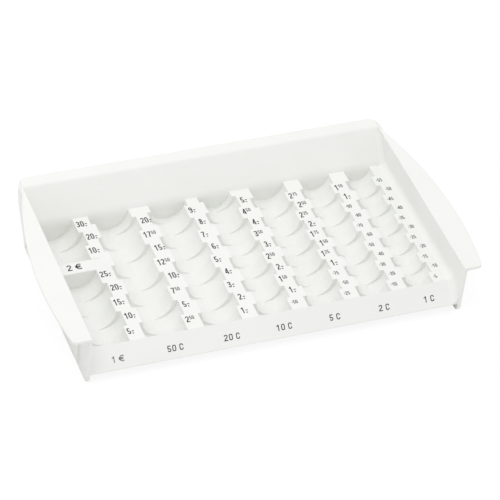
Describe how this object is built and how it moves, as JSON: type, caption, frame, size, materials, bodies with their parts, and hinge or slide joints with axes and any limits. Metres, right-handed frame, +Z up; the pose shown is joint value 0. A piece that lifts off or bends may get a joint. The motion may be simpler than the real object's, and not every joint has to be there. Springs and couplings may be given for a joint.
{
  "type": "manual coin counting tray",
  "caption": "Shallow white tray with rows of half-round stepped channels for euro coins, a sloping front band, a sloping back panel and curved side wings.",
  "frame": {"origin": "on the table, under the middle of the tray's box", "axes": "+X along the tray's width, from the 2 euro column to the 1 cent column; -Y is the front, where the coin names are; +Z up"},
  "size_m": [0.2492, 0.136, 0.0329],
  "materials": {
    "white_plastic": "satin off-white moulded plastic, fine even texture"
  },
  "bodies": {
    "root": {"side_wall_left": "white_plastic", "side_wall_right": "white_plastic", "back_panel": "white_plastic", "front_band": "white_plastic", "divider_strip": "white_plastic", "trough_2_euro": "white_plastic", "trough_1_euro": "white_plastic", "trough_50_cent": "white_plastic", "trough_20_cent": "white_plastic", "trough_10_cent": "white_plastic", "trough_5_cent": "white_plastic", "trough_2_cent": "white_plastic", "trough_1_cent": "white_plastic"}
  },
  "joints": []
}
